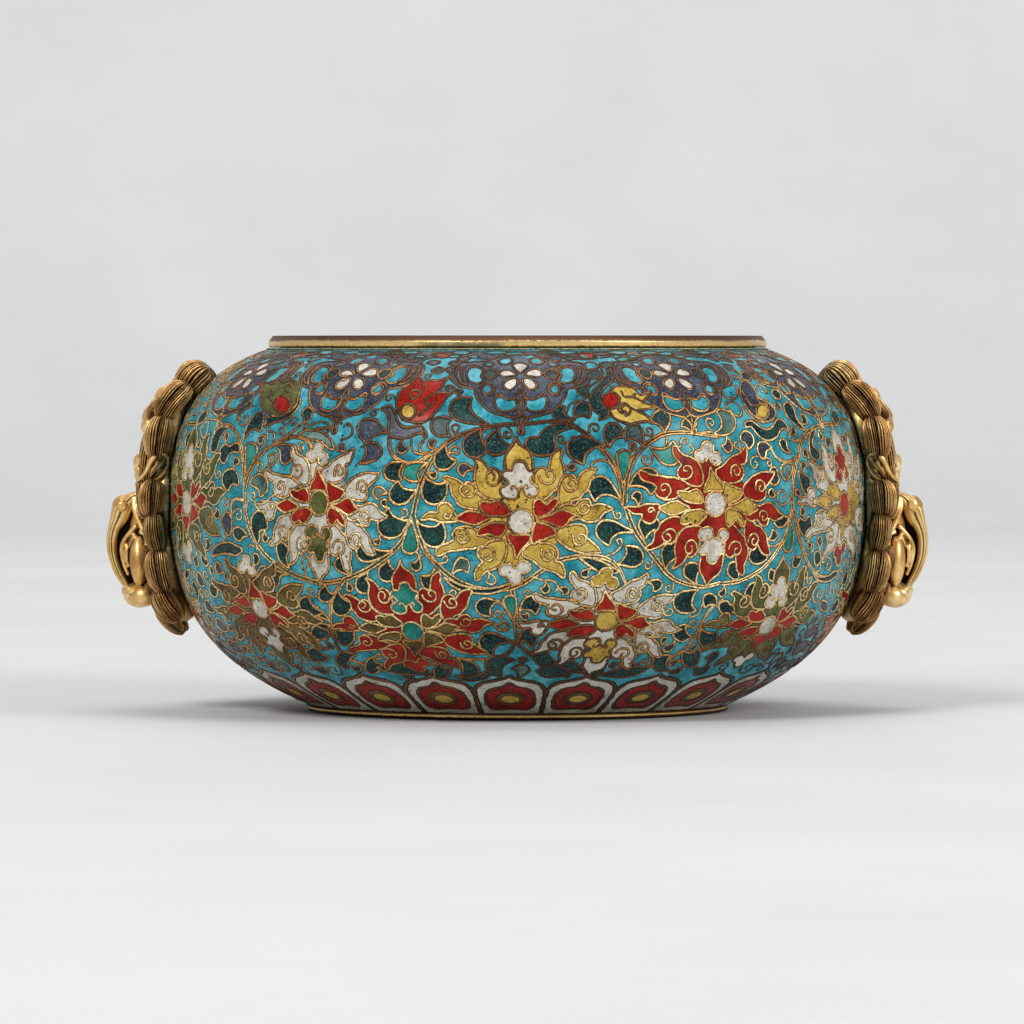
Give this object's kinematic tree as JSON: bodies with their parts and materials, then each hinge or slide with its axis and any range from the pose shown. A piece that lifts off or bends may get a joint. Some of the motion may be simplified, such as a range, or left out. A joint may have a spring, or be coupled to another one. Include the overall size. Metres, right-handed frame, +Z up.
{
  "type": "cloisonne incense burner",
  "caption": "Low bombe cloisonne enamel censer with lotus scroll ground, lappet foot band, gilt mouth rim, gilt beast-head side handles and a lift-out ash liner.",
  "frame": {"origin": "centre of the foot, on the surface the burner stands on", "axes": "+Z up through the mouth, X through the two handles, the pictured side faces -Y"},
  "size_m": [0.271, 0.23, 0.123],
  "materials": {
    "enamel_blue": "polished turquoise cloisonne enamel with gilt wires, fine pits and a soft gloss",
    "enamel_white": "polished white cloisonne enamel with red and yellow lappets and gilt wires",
    "copper": "aged copper alloy, brown patina, satin",
    "gilt": "fire-gilt bronze, worn on the high places and brown in the grooves",
    "worn_gilt": "rubbed gilding over bronze, satin"
  },
  "bodies": {
    "vessel": {"copper_body": "copper", "enamel_field": "enamel_blue", "enamel_lappet_band": "enamel_white", "mouth_rim": "worn_gilt", "foot_ring": "gilt", "base_plate": "gilt", "handle_right": "gilt", "rivet_right_upper": "copper", "washer_right_upper": "copper", "rivet_right_lower": "copper", "washer_right_lower": "copper", "handle_left": "gilt", "rivet_left_upper": "copper", "washer_left_upper": "copper", "rivet_left_lower": "copper", "washer_left_lower": "copper"},
    "liner": {"ash_liner": "copper"}
  },
  "joints": [
    {"name": "liner_lift", "type": "slide", "parent": "vessel", "child": "liner", "axis": [0, 0, 1], "range_m": [0, 0.09]}
  ]
}
